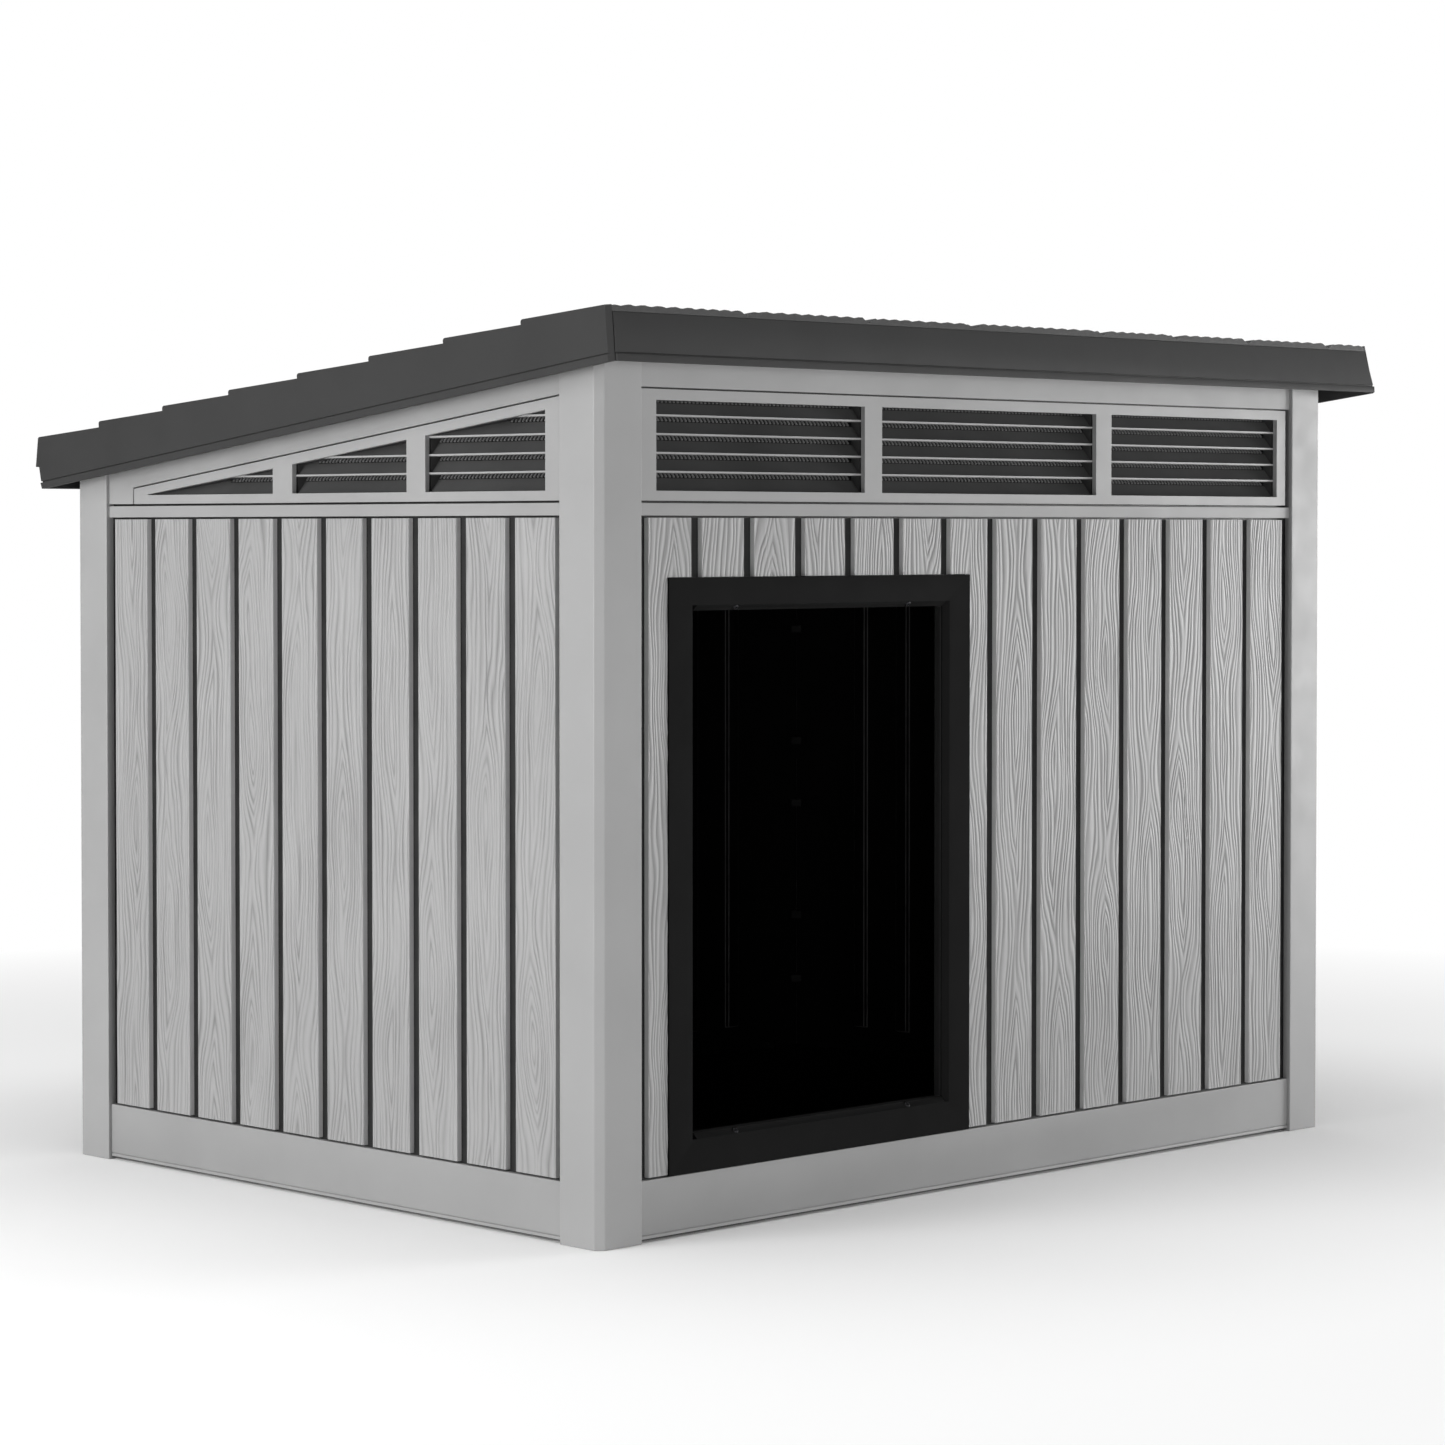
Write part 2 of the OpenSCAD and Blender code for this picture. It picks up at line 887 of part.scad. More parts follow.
shingle_course(2);  // shingle_course_2
shingle_course(3);  // shingle_course_3
shingle_course(4);  // shingle_course_4
shingle_course(5);  // shingle_course_5
shingle_course(6);  // shingle_course_6
shingle_course(7);  // shingle_course_7
shingle_course(8);  // shingle_course_8
front_fascia();
rear_fascia();
left_fascia();
right_fascia();
corner_clips();
floor_clips();
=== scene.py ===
import math

import bmesh
import bpy
import numpy as np
from mathutils import Matrix, Vector


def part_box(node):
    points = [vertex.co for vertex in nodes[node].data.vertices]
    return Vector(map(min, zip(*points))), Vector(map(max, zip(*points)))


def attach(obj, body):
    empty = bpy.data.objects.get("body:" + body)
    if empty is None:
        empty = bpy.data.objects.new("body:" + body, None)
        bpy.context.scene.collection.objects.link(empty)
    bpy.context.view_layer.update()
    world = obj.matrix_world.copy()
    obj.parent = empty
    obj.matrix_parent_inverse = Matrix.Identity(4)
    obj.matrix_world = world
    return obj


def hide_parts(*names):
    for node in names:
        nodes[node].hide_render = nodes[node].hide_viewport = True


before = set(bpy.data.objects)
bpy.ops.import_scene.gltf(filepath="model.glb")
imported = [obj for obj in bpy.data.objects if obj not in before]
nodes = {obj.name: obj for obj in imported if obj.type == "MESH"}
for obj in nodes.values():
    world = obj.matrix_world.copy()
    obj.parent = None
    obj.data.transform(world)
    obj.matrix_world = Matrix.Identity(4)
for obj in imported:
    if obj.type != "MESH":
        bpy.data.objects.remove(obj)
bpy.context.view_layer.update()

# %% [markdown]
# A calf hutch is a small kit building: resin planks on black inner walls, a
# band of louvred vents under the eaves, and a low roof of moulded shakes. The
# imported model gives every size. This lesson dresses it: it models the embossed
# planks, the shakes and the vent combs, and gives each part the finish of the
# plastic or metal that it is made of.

MM = 0.001
body_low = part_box("post_front_left")[0]
body_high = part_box("post_rear_right")[1]
body_w = body_high.x - body_low.x
body_d = body_high.y - body_low.y
print(f"{len(nodes)} nodes; the body is {body_w:.3f} by {body_d:.3f} m over its posts")

# %% [markdown]
# The camera comes first, because it fixes what has to look right. It stands at
# one metre, in line with the near corner post, and looks down by 1.5 degrees
# with a long lens, so the posts stay nearly upright. A small shift frames them.

# %% Camera
camera = bpy.data.objects.new("camera", bpy.data.cameras.new("camera"))
bpy.context.scene.collection.objects.link(camera)
camera.location = (-4.5615, -4.6038, 1.0)
camera.rotation_euler = (math.radians(90 - 1.4886), 0, -0.78147)
camera.data.lens = 98.49
camera.data.sensor_width = 36
camera.data.shift_y = -0.0603
bpy.context.scene.camera = camera
print("camera", [round(c, 3) for c in camera.location], camera.data.lens, "mm")

# %% [markdown]
# Each wall is worked on flat, as a joiner would: along it, into it and up. A
# small matrix then stands it on its side of the body. The back and the left
# wall are mirror images, so piece_from turns every piece's faces outwards again.

# %% Where each wall stands
WALLS = {
    "front": Matrix(((1, 0, 0, body_low.x), (0, 1, 0, body_low.y), (0, 0, 1, 0), (0, 0, 0, 1))),
    "rear": Matrix(((1, 0, 0, body_low.x), (0, -1, 0, body_high.y), (0, 0, 1, 0), (0, 0, 0, 1))),
    "left": Matrix(((0, 1, 0, body_low.x), (1, 0, 0, body_low.y), (0, 0, 1, 0), (0, 0, 0, 1))),
    "right": Matrix(((0, -1, 0, body_high.x), (1, 0, 0, body_low.y), (0, 0, 1, 0), (0, 0, 0, 1))),
}


def piece_from(bm, name, finish, standing_for=(), sharp=40):
    """Turns a finished bmesh into a piece of the hutch, shaded smooth between its sharp edges."""
    bmesh.ops.recalc_face_normals(bm, faces=bm.faces)
    mesh = bpy.data.meshes.new(name)
    bm.to_mesh(mesh)
    bm.free()
    mesh.shade_smooth()
    mesh.set_sharp_from_angle(angle=math.radians(sharp))
    piece = bpy.data.objects.new(name, mesh)
    bpy.context.scene.collection.objects.link(piece)
    mesh.materials.append(finish)
    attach(piece, "root")
    if standing_for:
        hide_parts(*standing_for)
    mesh.calc_loop_triangles()
    print(f"{name}: {len(mesh.loop_triangles)} triangles")
    return piece


# %% [markdown]
# Every finish is a node tree, so two helpers come first: one turns a screen
# colour into the linear value that a shader needs, and one adds a node with
# its settings and links.

# %% Colour and node helpers
def linear(hex_colour):
    channels = [int(hex_colour[i : i + 2], 16) / 255 for i in (0, 2, 4)]
    return tuple(c / 12.92 if c <= 0.04045 else ((c + 0.055) / 1.055) ** 2.4 for c in channels) + (1,)


def add(tree, kind, links=None, **settings):
    node = tree.nodes.new(kind)
    for name, value in settings.items():
        setattr(node, name, value)
    for socket, source in (links or {}).items():
        if isinstance(source, bpy.types.NodeSocket):
            tree.links.new(source, node.inputs[socket])
        else:
            node.inputs[socket].default_value = source
    return node


def new_finish(name, metallic=0.0, ior=1.49, specular=0.5):
    """A material with only its shader and the coordinates that its patterns read."""
    finish = bpy.data.materials.new(name)
    finish.use_nodes = True
    tree = finish.node_tree
    shader = tree.nodes["Principled BSDF"]
    shader.inputs["Metallic"].default_value = metallic
    if not metallic:
        shader.inputs["IOR"].default_value = ior
    shader.inputs["Specular IOR Level"].default_value = specular
    place = add(tree, "ShaderNodeTexCoord").outputs["Object"]
    return finish, tree, shader, place


def noise(tree, place, size_mm, detail=2.0, rough=0.5):
    """Smooth noise whose blotches are about size_mm across."""
    return add(
        tree, "ShaderNodeTexNoise",
        {"Vector": place, "Scale": 1000 / size_mm, "Detail": detail, "Roughness": rough},
    ).outputs["Fac"]


def between(tree, fac, low, high, fac_low=0.3, fac_high=0.7):
    """Stretches a pattern's middle values to run from low to high."""
    return add(
        tree, "ShaderNodeMapRange",
        {"Value": fac, "From Min": fac_low, "From Max": fac_high, "To Min": low, "To Max": high},
    ).outputs["Result"]


# %% [markdown]
# Most of the hutch is polypropylene, moulded and left as it comes from the
# tool. A satin skin of that kind is never quite even: the pigment drifts a
# little over a hand's breadth, the gloss varies with how the melt met the
# steel, and the tool's own surface leaves a fine stipple. One recipe gives all
# three, and each part picks its own colours and gloss. The stipple of a real
# moulding is finer than this one, which is drawn at 2.5 mm so that it shows.

# %% Moulded polypropylene
def moulded_plastic(name, dark, light, gloss, stipple=0.03, specular=0.5):
    """A moulded skin: two close colours, a roughness, a stipple height in mm and a specular level."""
    finish, tree, shader, place = new_finish(name, specular=specular)
    drift = noise(tree, place, 160, detail=3)
    colour = add(
        tree, "ShaderNodeMix",
        {"Factor": between(tree, drift, 0, 1), 6: linear(dark), 7: linear(light)},
        data_type="RGBA",
    ).outputs[2]
    tree.links.new(colour, shader.inputs["Base Color"])
    sheen_patches = noise(tree, place, 45, detail=4)
    tree.links.new(between(tree, sheen_patches, gloss - 0.05, gloss + 0.07), shader.inputs["Roughness"])
    grit = noise(tree, place, 2.5, detail=2)
    bump = add(tree, "ShaderNodeBump", {"Strength": 0.5, "Distance": stipple * MM, "Height": grit})
    tree.links.new(bump.outputs["Normal"], shader.inputs["Normal"])
    return finish


# The grey mouldings are satin, so a post shows a long soft highlight
post_finish = moulded_plastic("polypropylene_moulded_post", "888888", "8D8D8D", 0.46, specular=0.35)
board_finish = moulded_plastic("polypropylene_moulded_board", "848484", "898989", 0.50, specular=0.35)
frame_finish = moulded_plastic("polypropylene_moulded_vent_frame", "868686", "8B8B8B", 0.46, specular=0.35)
# Extruded black sheet: so dark that only its corners and a dull sheen show
inner_finish = moulded_plastic("polypropylene_black_inner_sheet", "0C0C0C", "111111", 0.42, 0.03, 0.4)
# Louvre blades are matt and dark grey; their teeth are painted paler, as a painted highlight, so the comb
# shows as lit dashes
louvre_finish = moulded_plastic("polypropylene_black_louvre", "3A3A3A", "424242", 0.55, specular=0.2)
tooth_highlight_finish = moulded_plastic("polypropylene_louvre_tooth_painted_highlight", "606060", "686868", 0.4, specular=0.5)
# The slot strip is near-black, as painted shade for the open slots behind the teeth
slot_shade_finish = moulded_plastic("polypropylene_louvre_slot_painted_shade", "0C0C0C", "131313", 0.7, 0.03, 0.2)
# The door's ABS is moulded in an etched tool: a flat black with hardly any highlight
door_finish = moulded_plastic("abs_black_door_surround", "171717", "191919", 0.65, 0.06, 0.01)
liner_finish = moulded_plastic("abs_black_door_liner", "1E1E1E", "232323", 0.5, 0.04, 0.15)
# Corners are painted paler than the plastic round them, as a painted highlight, so an edge shows as a thin
# lit line
batten_edge_highlight_finish = moulded_plastic("polypropylene_black_scuffed_corner", "5A5A5A", "787878", 0.45, 0.08, 0.5)
door_edge_highlight_finish = moulded_plastic("abs_black_door_corner_painted_highlight", "262626", "333333", 0.45, 0.08, 0.3)
# Floor and charcoal fascia: coarse, the floor nearly black, low satin on the fascia; the roof deck is
# painted nearly black as painted shade under the eaves
floor_finish = moulded_plastic("polypropylene_black_floor", "111111", "181818", 0.6, 0.08, 0.3)
fascia_finish = moulded_plastic("polypropylene_charcoal_fascia", "303030", "333333", 0.55, 0.05, 0.12)
deck_shade_finish = moulded_plastic("polypropylene_roof_deck_painted_shade", "131313", "1A1A1A", 0.6, 0.05, 0.3)
print("moulded finishes end with", deck_shade_finish.name)

# %% [markdown]
# The plank faces copy sawn and brushed softwood. The ridges follow a growth
# ring that the plank carries with it as an attribute, so the same lines that
# are modelled in the mesh also steer the finer lines of the finish: hairlines
# between the ridges, a darker colour in the valleys, which is painted shade in
# the hollows of the emboss, and more gloss where the crests have been polished
# by the tool.

# %% Embossed planks
RING_MM = 7.2
PLANK_SPECULAR = 0.35


def wave_of_rings(tree, ring, spacing_mm):
    """A wave from 0 to 1 that peaks once every spacing_mm of ring distance."""
    turns = add(
        tree, "ShaderNodeMath", {0: ring, 1: math.tau / spacing_mm}, operation="MULTIPLY"
    ).outputs[0]
    wave = add(tree, "ShaderNodeMath", {0: turns}, operation="COSINE").outputs[0]
    return add(tree, "ShaderNodeMapRange", {"Value": wave, "From Min": -1, "From Max": 1}).outputs["Result"]


def stretched(tree, place, scale):
    """The coordinates, squeezed along an axis so that a pattern grows long on it."""
    return add(tree, "ShaderNodeMapping", {"Vector": place, "Scale": scale}).outputs["Vector"]


def embossed_polypropylene(name):
    finish, tree, shader, place = new_finish(name, specular=PLANK_SPECULAR)
    ring = add(
        tree, "ShaderNodeAttribute", attribute_name="ring", attribute_type="GEOMETRY"
    ).outputs["Fac"]
    crest = wave_of_rings(tree, ring, RING_MM)
    hairline = wave_of_rings(tree, ring, RING_MM / 3)
    ridge = add(tree, "ShaderNodeMath", {0: crest, 1: 0.45}, operation="POWER").outputs[0]
    fibre = noise(tree, stretched(tree, place, (1, 1, 0.05)), 1.6, detail=3)
    drift = noise(tree, place, 190, detail=3)
    valley_depth_and_shade = noise(tree, stretched(tree, place, (1, 1, 0.12)), 22, detail=2)
    # Valleys are painted darker than crests as painted shade in the emboss; the drift is the plastic's own
    # tone
    valley = add(tree, "ShaderNodeMath", {0: 1.0, 1: ridge}, operation="SUBTRACT").outputs[0]
    cut = add(
        tree, "ShaderNodeMath", {0: valley, 1: between(tree, valley_depth_and_shade, 0.25, 1)}, operation="MULTIPLY"
    ).outputs[0]
    tone = add(
        tree, "ShaderNodeMath",
        {0: cut, 1: -0.95, 2: between(tree, drift, 0.86, 1)}, operation="MULTIPLY_ADD",
    ).outputs[0]
    colour = add(
        tree, "ShaderNodeMix",
        {"Factor": tone, 6: linear("686868"), 7: linear("8F8F8F")}, data_type="RGBA",
    ).outputs[2]
    tree.links.new(colour, shader.inputs["Base Color"])
    tree.links.new(between(tree, crest, 0.56, 0.47, 0, 1), shader.inputs["Roughness"])
    grooves = add(
        tree, "ShaderNodeMath", {0: hairline, 1: 0.05, 2: cut}, operation="MULTIPLY_ADD"
    ).outputs[0]
    fuzz = add(tree, "ShaderNodeMath", {0: fibre, 1: 0.12}, operation="MULTIPLY").outputs[0]
    height = add(
        tree, "ShaderNodeMath", {0: grooves, 1: -1.0, 2: fuzz}, operation="MULTIPLY_ADD"
    ).outputs[0]
    bump = add(tree, "ShaderNodeBump", {"Strength": 1.0, "Distance": 0.95 * MM, "Height": height})
    tree.links.new(bump.outputs["Normal"], shader.inputs["Normal"])
    return finish


plank_finish = embossed_polypropylene("polypropylene_embossed_plank_valley_shade")
# The planks' sides aren't embossed; they are painted paler and even, as painted light, so a groove keeps
# one lit flank
plank_side_light_finish = moulded_plastic(
    "polypropylene_plank_side_painted_light", "BEBEBE", "C6C6C6", 0.46, specular=PLANK_SPECULAR
)
print("rings every", RING_MM, "mm")

# %% [markdown]
# The roof is charcoal polypropylene with a split-shake texture. Weather and
# the tool leave it more matt than the walls. Long streaks run down the slope,
# as the splits of a cedar shake do, and each shake drifts in tone.

# %% Shakes and metal
def split_shake_polypropylene(name):
    finish, tree, shader, place = new_finish(name, specular=0.4)
    streak = noise(tree, stretched(tree, place, (1, 0.08, 1)), 9, detail=4, rough=0.6)
    shake = add(
        tree, "ShaderNodeAttribute", attribute_name="shake", attribute_type="GEOMETRY"
    ).outputs["Fac"]
    own_tone = add(tree, "ShaderNodeMath", {0: shake, 1: 0.45}, operation="MULTIPLY").outputs[0]
    tone = add(
        tree, "ShaderNodeMath", {0: between(tree, streak, 0, 0.55), 1: own_tone}, operation="ADD"
    ).outputs[0]
    colour = add(
        tree, "ShaderNodeMix",
        {"Factor": tone, 6: linear("2A2A2A"), 7: linear("3B3B3B")}, data_type="RGBA",
    ).outputs[2]
    tree.links.new(colour, shader.inputs["Base Color"])
    tree.links.new(between(tree, streak, 0.5, 0.68), shader.inputs["Roughness"])
    grit = noise(tree, place, 2.2, detail=3)
    height = add(
        tree, "ShaderNodeMath", {0: streak, 1: 3.0, 2: grit}, operation="MULTIPLY_ADD"
    ).outputs[0]
    bump = add(tree, "ShaderNodeBump", {"Strength": 0.6, "Distance": 0.35 * MM, "Height": height})
    tree.links.new(bump.outputs["Normal"], shader.inputs["Normal"])
    return finish


def worked_metal(name, colour, roughness, grit_mm, metallic):
    """Zinc-plated or powder-coated steel: the plating's crystals or the powder's orange peel."""
    finish, tree, shader, place = new_finish(name, metallic=metallic)
    shader.inputs["Base Color"].default_value = linear(colour)
    grit = noise(tree, place, grit_mm, detail=3)
    tree.links.new(between(tree, grit, roughness - 0.06, roughness + 0.08), shader.inputs["Roughness"])
    bump = add(tree, "ShaderNodeBump", {"Strength": 0.4, "Distance": 0.04 * MM, "Height": grit})
    tree.links.new(bump.outputs["Normal"], shader.inputs["Normal"])
    return finish


# Broad dull highlights that break up on the streaks, as on split wood
shake_finish = split_shake_polypropylene("polypropylene_split_shake")
# A crisp glint on the screws' rings, and the even dark sheen of baked powder on the rafters
screw_finish = worked_metal("steel_black_zinc_screw", "343436", 0.38, 1.2, 1.0)
rafter_finish = worked_metal("steel_powder_coated_rafter", "2E2E30", 0.5, 2.0, 0.0)
print("other finishes:", shake_finish.name, screw_finish.name, rafter_finish.name)

# %% [markdown]
# Real mouldings have no knife edges: the tool leaves a radius of about a
# millimetre, and that radius is what catches the light along a post. The
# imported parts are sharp, so each visible one is copied, its loose triangles
# are welded and merged into flat faces, and a Bevel modifier rounds what is
# left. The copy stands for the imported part.

# %% Mouldings with soft edges
def soft_edged(node, finish, radius_mm):
    bm = bmesh.new()
    bm.from_mesh(nodes[node].data)
    for layer in list(bm.loops.layers.uv):
        bm.loops.layers.uv.remove(layer)
    bmesh.ops.remove_doubles(bm, verts=bm.verts, dist=0.01 * MM)
    bmesh.ops.dissolve_limit(
        bm, angle_limit=math.radians(0.5), verts=bm.verts, edges=bm.edges, use_dissolve_boundaries=False
    )
    piece = piece_from(bm, node + "_moulding", finish, [node], sharp=50)
    bevel = piece.modifiers.new("moulded edge", "BEVEL")
    bevel.width = radius_mm * MM
    bevel.segments = 2
    bevel.limit_method = "ANGLE"
    bevel.angle_limit = math.radians(25)
    bevel.harden_normals = True
    return piece


MOULDINGS = [
    (post_finish, "post_grey", 1.4, [
        f"post_{end}_{side}" for end in ("front", "rear") for side in ("left", "right")]),
    (board_finish, "board_grey", 0.9, [
        f"{wall}_{board}" for wall in WALLS for board in ("kick_board", "mid_rail", "header_board")]),
    (frame_finish, "frame_grey", 0.5, ["front_vent_frame", "left_vent_frame", "right_vent_frame"]),
    (door_finish, "door_black", 1.0, ["door_surround"]),
    (liner_finish, "door_black", 0.8, ["door_liner"]),
    (fascia_finish, "fascia_charcoal", 0.5, [f"{wall}_fascia" for wall in WALLS]),
    (inner_finish, "inner_black", 1.6, [f"{wall}_inner_wall" for wall in WALLS]),
    (rafter_finish, "rafter_steel", 2.0, ["rafter_left", "rafter_middle", "rafter_right"]),
    (floor_finish, "floor_black", 0.8, ["floor_panel", "floor_clips", "corner_clips"]),
]
for finish, slot, radius, members in MOULDINGS:
    for node in members:
        soft_edged(node, finish, radius)

# %% [markdown]
# The corners of the black plastic are painted paler: a painted highlight where
# a rounded edge catches the light. The Bevel modifier can give its own faces a
# second finish, so the battens of the inner walls and the door's edges get the
# painted highlight.

# %% Corners with a painted highlight
PAINTED_EDGE_HIGHLIGHTS = {f"{wall}_inner_wall": batten_edge_highlight_finish for wall in WALLS}
PAINTED_EDGE_HIGHLIGHTS.update({"door_surround": door_edge_highlight_finish, "door_liner": door_edge_highlight_finish})
for node, finish in PAINTED_EDGE_HIGHLIGHTS.items():
    piece = bpy.data.objects[node + "_moulding"]
    piece.data.materials.append(finish)
    bevel = piece.modifiers["moulded edge"]
    bevel.material = 1
    bevel.use_clamp_overlap = finish != batten_edge_highlight_finish
print("painted_edge_highlight:", list(PAINTED_EDGE_HIGHLIGHTS))

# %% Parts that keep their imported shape
PLAIN = [
    (louvre_finish, [n for n in nodes if "_louvre_" in n]),
    (floor_finish, ["floor_bearers"]),
    (deck_shade_finish, ["roof_deck"]),
]
for finish, members in PLAIN:
    for node in members:
        nodes[node].data.materials.clear()
        nodes[node].data.materials.append(finish)
print("plain parts:", sum(len(m) for f, m in PLAIN))

# %% [markdown]
# The grain is embossed, so it is modelled. A board sawn through a log cuts the
# growth rings as long nested arches, which straighten towards its edges. For
# each plank a ring distance is worked out over the face, and the surface dips
# between the rings. Everything is cut into the face, never raised above it, so
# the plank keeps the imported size.

# %% Growth rings of a plank
def wander(rng, *arrays_and_sizes):
    """A few slow sine waves with random phases, as (array, wavelength) pairs; about -1 to 1."""
    total = 0
    for t in range(3):
        phase = rng.uniform(0, math.tau)
        total = total + np.sin(phase + sum(
            a * (math.tau / size) * rng.uniform(0.6, 1.5) * rng.choice([-1, 1])
            for a, size in arrays_and_sizes
        ))
    return total / 2.2


def ring_distance(x, z, rng):
    """How far through the rings each point of a plank's face lies, in mm; x is from its middle."""
    heart = rng.uniform(-16, 16) + 7 * wander(rng, (z, 620)) + 2.5 * wander(rng, (z, 210))
    across = np.sqrt((x - heart) ** 2 + 3.0)
    arches = rng.uniform(9, 19) * np.sin(
        math.tau * z / rng.uniform(430, 640) + rng.uniform(0, math.tau)
    )
    arches = arches + 6 * wander(rng, (z, 300))
    straighten = np.exp(-((across / 34) ** 2))
    drift = 2.2 * wander(rng, (x, 90), (z, 420)) + 0.8 * wander(rng, (x, 30), (z, 140))
    ring = across + arches * straighten + drift
    return ring + 1.3 * np.sin(math.tau * ring / 19 + rng.uniform(0, math.tau))


def ridge_height(ring, x, z, rng):
    """Height of the brushed ridges, from 0 in a valley to 1 on a crest."""
    strength = 0.62 + 0.38 * wander(rng, (ring, 26), (z, 500))
    crest = 0.5 + 0.5 * np.cos(math.tau * ring / RING_MM)
    return np.clip(strength, 0.15, 1) * crest ** 1.4


# %% A wall of planks
PLANK_W = 84
PLANK_FACE, PLANK_BACK = 6.0, 15.0
PLANK_COLUMNS = 50
PLANK_ROW_MM = 7.4
EMBOSS_MM = 0.75
EDGE_ROUND_MM = 0.5
SKIN_EDGES = [0, 0.5, 1.3, 2.6]
TOUCH_MM = 0.01


def spread(count, length):
    """Places of a plank's grid lines: even, but close together at the two edges to round them."""
    inner = np.linspace(SKIN_EDGES[-1], length - SKIN_EDGES[-1], count + 1 - 2 * (len(SKIN_EDGES) - 1))
    return np.concatenate([SKIN_EDGES[:-1], inner, [length - e for e in reversed(SKIN_EDGES[:-1])]])


def plank_wall(wall, count, margin, doorway=None):
    low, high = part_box(f"{wall}_planks")
    length = 1000 * (body_w if wall in ("front", "rear") else body_d)
    z_low, z_high = low.z * 1000, high.z * 1000
    pitch = (length - 2 * margin - PLANK_W) / (count - 1)
    bm = bmesh.new()
    ring_layer = bm.verts.layers.float.new("ring")
    for k in range(count):
        rng = np.random.default_rng(1000 * list(WALLS).index(wall) + k)
        x0 = margin + k * pitch
        bottom = z_low
        notch = None
        if doorway and x0 + PLANK_W > doorway[0] and x0 < doorway[1]:
            if x0 >= doorway[0] and x0 + PLANK_W <= doorway[1]:
                bottom = doorway[2]
            else:
                notch = doorway
        rows = max(8, round((z_high - bottom) / PLANK_ROW_MM))
        made = bmesh.ops.create_grid(bm, x_segments=PLANK_COLUMNS, y_segments=rows, size=0.5)["verts"]
        u = np.array([v.co.x + 0.5 for v in made])
        w = np.array([v.co.y + 0.5 for v in made])
        columns = x0 + spread(PLANK_COLUMNS, PLANK_W)
        lines = bottom + spread(rows, z_high - bottom)
        if notch:
            edge = notch[0] if x0 < notch[0] else notch[1]
            columns[np.abs(columns - edge).argmin()] = edge
            lines[np.abs(lines - notch[2]).argmin()] = notch[2]
        x = columns[np.rint(u * PLANK_COLUMNS).astype(int)]
        z = lines[np.rint(w * rows).astype(int)]
        ring = ring_distance(x - x0 - PLANK_W / 2, z, rng)
        rim = np.minimum.reduce([x - x0, x0 + PLANK_W - x, z - bottom, z_high - z])
        rounding = EDGE_ROUND_MM * np.clip(1 - rim / SKIN_EDGES[-1], 0, 1) ** 2.2
        emboss = EMBOSS_MM * (1 - ridge_height(ring, x, z, rng)) * np.clip(rim / 2, 0, 1)
        depth = PLANK_FACE + emboss + rounding
        place = WALLS[wall]
        for v, vx, vn, vz, vr in zip(made, x, depth, z, ring):
            v.co = place @ Vector((vx * MM, vn * MM, vz * MM))
            v[ring_layer] = vr
        if notch:
            out = {
                v for v, vx, vz in zip(made, x, z)
                if notch[0] - TOUCH_MM < vx < notch[1] + TOUCH_MM and vz < notch[2] + TOUCH_MM
            }
            gone = [f for f in bm.faces if all(v in out for v in f.verts)]
            bmesh.ops.delete(bm, geom=gone, context="FACES")
    rim_edges = [e for e in bm.edges if e.is_boundary]
    side = bmesh.ops.extrude_edge_only(bm, edges=rim_edges)["geom"]
    # The sides get the second finish, painted paler as painted light
    for face in {f for f in side if isinstance(f, bmesh.types.BMFace)}:
        face.material_index = 1
    for v in {v for v in side if isinstance(v, bmesh.types.BMVert)}:
        flat = WALLS[wall].inverted() @ v.co
        flat.y = PLANK_BACK * MM
        v.co = WALLS[wall] @ flat
    bmesh.ops.holes_fill(bm, edges=[e for e in bm.edges if e.is_boundary], sides=0)
    piece = piece_from(
        bm, f"{wall}_planks_embossed", plank_finish, [f"{wall}_planks"], sharp=35
    )
    piece.data.materials.append(plank_side_light_finish)
    return piece


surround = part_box("door_surround")
DOOR_GAP = 1
door_hole = (
    (surround[0].x - body_low.x) * 1000 - DOOR_GAP,
    (surround[1].x - body_low.x) * 1000 + DOOR_GAP,
    surround[1].z * 1000 + DOOR_GAP,
)
WIDE_ROW, DEEP_ROW = (14, 101), (10, 97)
plank_wall("front", *WIDE_ROW, door_hole)
plank_wall("left", *DEEP_ROW)
plank_wall("rear", *WIDE_ROW)
plank_wall("right", *DEEP_ROW)

# %% [markdown]
# The roof lies in eight courses. Each is one moulding, shaped like a row of
# split shakes of random width, with the ridges of the split running down the
# slope, a gap between neighbours and butts that don't quite line up. It is
# drawn on a flat grid in the roof's own plane, then closed underneath.

# %% The roof's plane
ROOF_PITCH = math.radians(7)
LIP_FRONT_Z = 1.234
OVER_FRONT = 0.079
lip_corner = Vector((body_low.x, body_low.y - OVER_FRONT, LIP_FRONT_Z))
roof_plane = Matrix.Translation(lip_corner) @ Matrix.Rotation(-ROOF_PITCH, 4, "X")
to_roof = roof_plane.inverted()
print("roof plane starts at", [round(c, 4) for c in lip_corner])


def roof_span(node):
    """Start and end of a node along the roof and up from its plane, in mm."""
    spots = [to_roof @ v.co * 1000 for v in nodes[node].data.vertices]
    return [f(s[axis] for s in spots) for axis in (0, 1, 2) for f in (min, max)]


# %% Shake courses
DECK_TOP = 70.0
COURSE_RISE = 7.3
RIDGE_LIFT = 1.6
RIDGE_MM, FINE_RIDGE_MM = 27, 9.3
GAP_DEEP, GAP_HALF = 4.6, 4.5
EAVES_DEEPER, EAVES_WIDER = 1.6, 5
FIRST_SHAKES = [230, 480, 710, 1010, 1190, 1375, 1590]
SHAKE_COLUMN_MM = 4.5
SHAKE_ROWS = 12
ROUND_FROM = 0.975


def shake_edges(rng, start, end):
    """Where one shake ends and the next begins along a course."""
    edges = [start]
    while edges[-1] < end - 330:
        edges.append(edges[-1] + rng.uniform(150, 290))
    return edges + [end]


